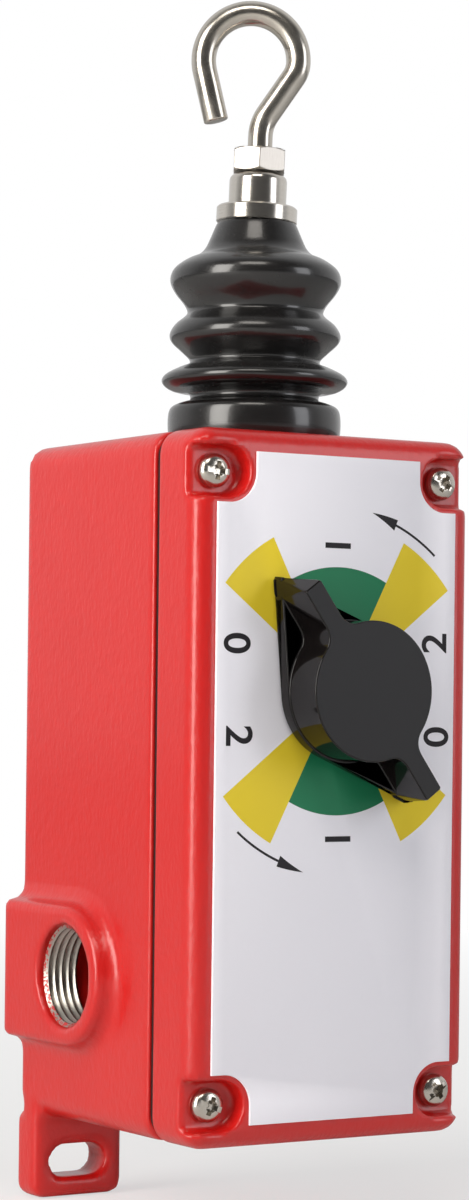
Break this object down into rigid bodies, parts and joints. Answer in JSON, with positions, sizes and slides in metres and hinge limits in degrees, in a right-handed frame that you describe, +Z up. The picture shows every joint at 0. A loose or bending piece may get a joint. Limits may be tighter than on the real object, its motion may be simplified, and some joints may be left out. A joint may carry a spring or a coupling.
{
  "type": "rope pull switch",
  "caption": "Wall-mounted rope pull switch: red cast box with screwed lid and dial plate, black rotary knob, side conduit entry, rubber bellows and a steel rope hook on top.",
  "frame": {"origin": "centre of the box's flat back face, behind the box's mid-height", "axes": "+Z up the pull rod towards the hook, -Y out of the lid towards the user, +X to the right seen from the front"},
  "size_m": [0.0662, 0.0783, 0.2344],
  "materials": {
    "red_powder_coat": "fine textured powder coat",
    "label_plate": "satin, with a yellow and green dial",
    "black_rubber": "glossy moulded",
    "stainless_steel": "polished",
    "zinc_plated_steel": "zinc plated",
    "brass": "turned",
    "grey_plastic": "moulded",
    "black_plastic": "glossy with a satin top",
    "block_plastic": "moulded",
    "white_plastic": "moulded"
  },
  "bodies": {
    "housing": {"housing": "red_powder_coat", "lid_gasket": "black_rubber", "lid": "red_powder_coat", "front_label": "label_plate", "lid_screw_1": "stainless_steel", "lid_screw_2": "stainless_steel", "lid_screw_3": "stainless_steel", "lid_screw_4": "stainless_steel", "spindle_bush": "brass", "guide_bush": "brass", "guide_nut": "zinc_plated_steel", "rod_wiper": "black_rubber", "boot": "black_rubber", "return_spring": "stainless_steel", "bracket": "zinc_plated_steel", "bracket_screw_1": "zinc_plated_steel", "bracket_screw_2": "zinc_plated_steel", "bracket_screw_3": "zinc_plated_steel", "bracket_screw_4": "zinc_plated_steel", "earth_screw": "brass", "contact_block_left": "block_plastic", "contact_block_right": "block_plastic", "block_screw_left_1": "zinc_plated_steel", "block_screw_left_2": "zinc_plated_steel", "block_screw_right_1": "zinc_plated_steel", "block_screw_right_2": "zinc_plated_steel", "terminal_left_1": "brass", "terminal_left_2": "brass", "terminal_left_3": "brass", "terminal_left_4": "brass", "terminal_right_1": "brass", "terminal_right_2": "brass", "terminal_right_3": "brass", "terminal_right_4": "brass"},
    "rod": {"pull_rod": "stainless_steel", "rack": "zinc_plated_steel", "rack_pin": "stainless_steel", "spring_washer": "zinc_plated_steel", "stop_nut": "zinc_plated_steel", "ferrule": "stainless_steel", "lock_nut": "stainless_steel", "hook": "stainless_steel"},
    "knob": {"spindle": "stainless_steel", "spindle_seal": "black_rubber", "knob": "black_plastic", "pinion": "zinc_plated_steel", "cam_back": "grey_plastic", "cam_front": "grey_plastic"},
    "plunger_left": {"plunger_left": "white_plastic"},
    "plunger_right": {"plunger_right": "white_plastic"}
  },
  "joints": [
    {"name": "rod_slide", "type": "slide", "parent": "housing", "child": "rod", "axis": [0, 0, 1], "range_m": [0, 0.01257], "stiffness_N_per_m": 1500, "springref_m": -0.008, "deforming": ["boot", "return_spring"]},
    {"name": "knob_turn", "type": "hinge", "parent": "housing", "child": "knob", "pos_m": [0, -0.06, 0.018], "axis": [0, 1, 0], "range_deg": [0, 80]},
    {"name": "plunger_left_slide", "type": "slide", "parent": "housing", "child": "plunger_left", "axis": [-1, 0, 0], "range_m": [0, 0.002]},
    {"name": "plunger_right_slide", "type": "slide", "parent": "housing", "child": "plunger_right", "axis": [-1, 0, 0], "range_m": [0, 0.002]}
  ],
  "couplings": [
    {"joint": "knob_turn", "follows": "rod_slide", "rad_per_m": 111.11},
    {"joint": "plunger_left_slide", "follows": "rod_slide", "ratio": 0.15915},
    {"joint": "plunger_right_slide", "follows": "rod_slide", "ratio": 0.15915}
  ]
}
